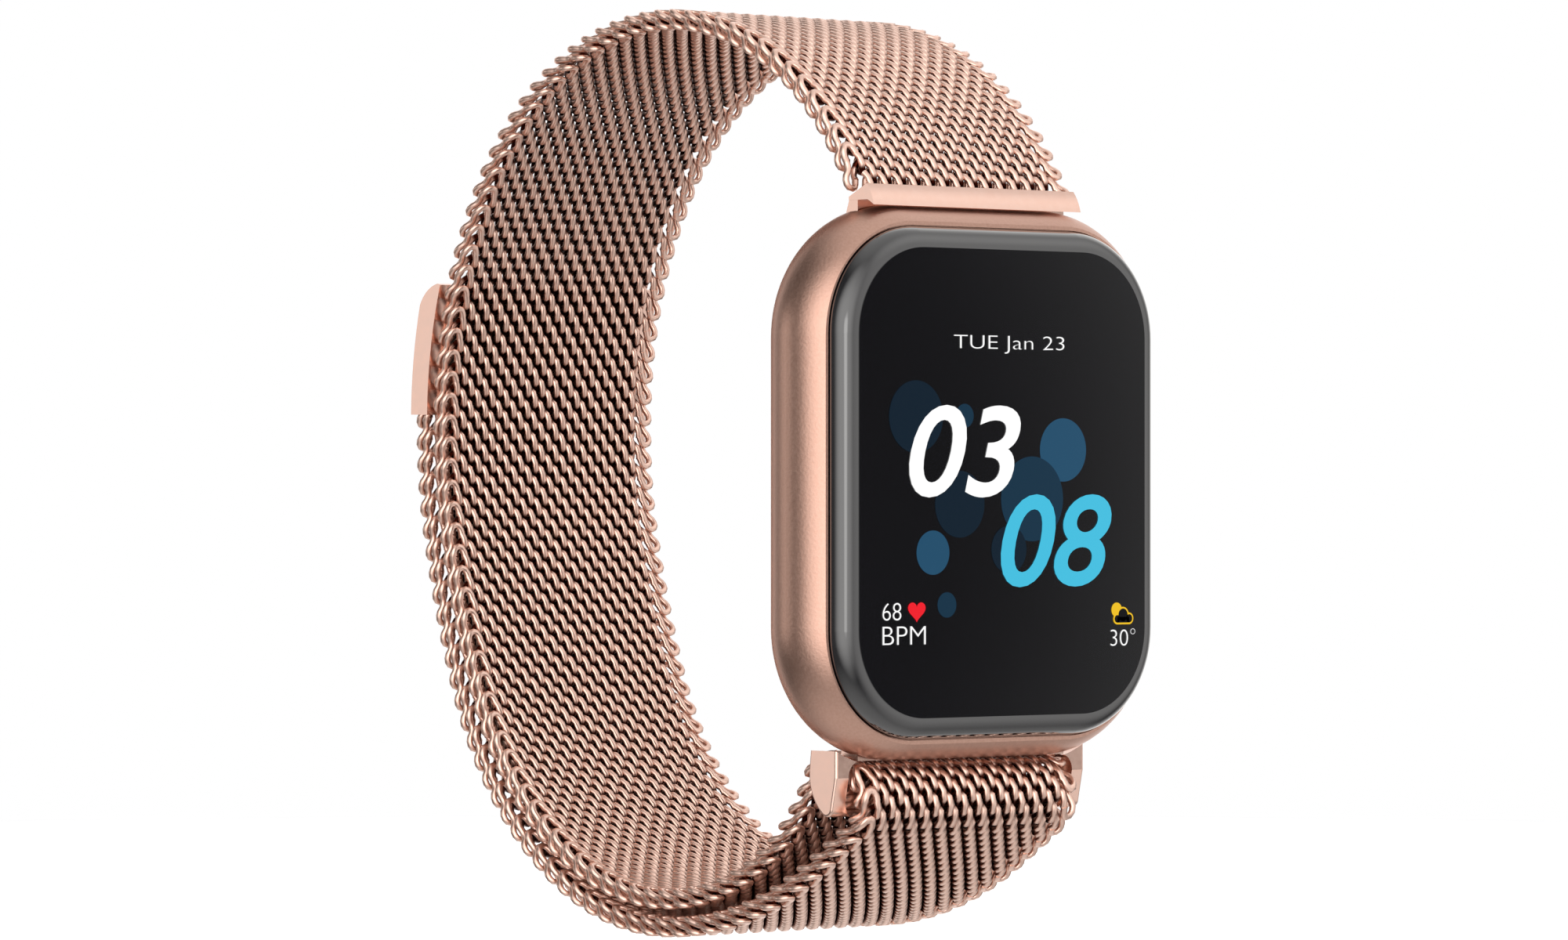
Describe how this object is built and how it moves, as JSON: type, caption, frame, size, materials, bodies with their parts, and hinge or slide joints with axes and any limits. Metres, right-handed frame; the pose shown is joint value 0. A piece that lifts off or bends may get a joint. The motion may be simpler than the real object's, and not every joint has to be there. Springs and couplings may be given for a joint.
{
  "type": "smartwatch",
  "caption": "Smartwatch with a rounded rectangular case, curved-edge glass and a woven metal mesh loop strap that folds through a buckle frame to a magnetic clasp.",
  "frame": {"origin": "middle of the wrist opening, level with the middle of the case", "axes": "+X towards 3 o'clock along the wrist, +Z towards 12 o'clock, the display faces -Y and the strap closes round the wrist at +Y"},
  "size_m": [0.0361, 0.0583, 0.0717],
  "materials": {
    "rose_gold_blasted": "bead-blasted rose-gold finish on the metal case and side button",
    "rose_gold_polished": "polished rose-gold plated steel",
    "rose_gold_mesh": "woven rose-gold steel wire",
    "cover_glass": "curved-edge cover glass, black behind",
    "display_black": "laminated display",
    "steel": "plain steel hardware",
    "spring_steel": "spring steel",
    "adhesive": "black bonding film",
    "seal_rubber": "silicone seal",
    "tray_metal": "stamped tray",
    "board": "circuit board laminate",
    "flex": "polyimide flex",
    "battery_foil": "foil pouch",
    "rear_plastic": "matte black rear cover",
    "sensor_glass": "dark sensor window",
    "gold_contact": "gold-plated contact",
    "magnet": "sintered magnet",
    "led": "light sources and detector"
  },
  "bodies": {
    "case": {"case_frame": "rose_gold_blasted", "front_glass": "cover_glass", "glass_adhesive": "adhesive", "touch_panel": "display_black", "display_panel": "display_black", "display_tray": "tray_metal", "display_flex": "flex", "main_board": "board", "shield_can": "tray_metal", "vibration_motor": "steel", "battery": "battery_foil", "rear_cover": "rear_plastic", "rear_screws": "steel", "rear_seal": "seal_rubber", "sensor_window": "sensor_glass", "sensor_board": "board", "sensor_lights": "led", "charging_contacts": "gold_contact", "charging_magnets": "magnet", "button_seal": "seal_rubber", "button_switch": "steel"},
    "button": {"side_button": "rose_gold_blasted", "button_clip": "spring_steel"},
    "strap_top": {"end_cap": "rose_gold_polished", "mesh_upper": "rose_gold_mesh", "top_bar_tube": "steel", "top_bar_spring": "spring_steel"},
    "top_release": {"top_bar_lever": "steel"},
    "strap_back": {"mesh_back": "rose_gold_mesh"},
    "strap_bottom": {"buckle_frame": "rose_gold_polished", "mesh_lower": "rose_gold_mesh", "bottom_bar_tube": "steel", "bottom_bar_spring": "spring_steel"},
    "bottom_release": {"bottom_bar_lever": "steel"},
    "tail_low": {"tail_mesh_1": "rose_gold_mesh"},
    "tail_mid": {"tail_mesh_2": "rose_gold_mesh"},
    "clasp": {"tail_mesh_3": "rose_gold_mesh", "clasp_shell": "rose_gold_polished", "clasp_plate": "steel", "clasp_magnets": "magnet"}
  },
  "joints": [
    {"name": "button_press", "type": "slide", "parent": "case", "child": "button", "axis": [-1, 0, 0], "range_m": [0, 0.00035], "stiffness_N_per_m": 4000, "springref_m": -0.0003},
    {"name": "strap_swing", "type": "hinge", "parent": "case", "child": "strap_top", "pos_m": [0, -0.0223, 0.0189], "axis": [1, 0, 0], "range_deg": [-7, 4]},
    {"name": "upper_bend", "type": "hinge", "parent": "strap_top", "child": "strap_back", "pos_m": [0, 0.02245, 0.02206], "axis": [-1, 0, 0], "range_deg": [-7, 4]},
    {"name": "lower_bend", "type": "hinge", "parent": "strap_back", "child": "strap_bottom", "pos_m": [0, 0.02245, -0.01574], "axis": [1, 0, 0], "range_deg": [-7, 4]},
    {"name": "tail_peel", "type": "hinge", "parent": "strap_back", "child": "tail_low", "pos_m": [0, 0.02446, -0.01652], "axis": [-1, 0, 0], "range_deg": [0, 20]},
    {"name": "tail_curl_1", "type": "hinge", "parent": "tail_low", "child": "tail_mid", "pos_m": [0, 0.02646, -0.01076], "axis": [-1, 0, 0], "range_deg": [0, 20]},
    {"name": "tail_curl_2", "type": "hinge", "parent": "tail_mid", "child": "clasp", "pos_m": [0, 0.02801, -0.00486], "axis": [-1, 0, 0], "range_deg": [0, 20]},
    {"name": "top_lever_slide", "type": "slide", "parent": "strap_top", "child": "top_release", "axis": [1, 0, 0], "range_m": [0, 0.0009], "stiffness_N_per_m": 1200, "springref_m": -0.001},
    {"name": "bottom_lever_slide", "type": "slide", "parent": "strap_bottom", "child": "bottom_release", "axis": [1, 0, 0], "range_m": [0, 0.0009], "stiffness_N_per_m": 1200, "springref_m": -0.001}
  ],
  "couplings": [
    {"joint": "upper_bend", "follows": "strap_swing", "ratio": 1},
    {"joint": "lower_bend", "follows": "strap_swing", "ratio": 1},
    {"joint": "tail_curl_1", "follows": "tail_peel", "ratio": 1},
    {"joint": "tail_curl_2", "follows": "tail_peel", "ratio": 1}
  ]
}
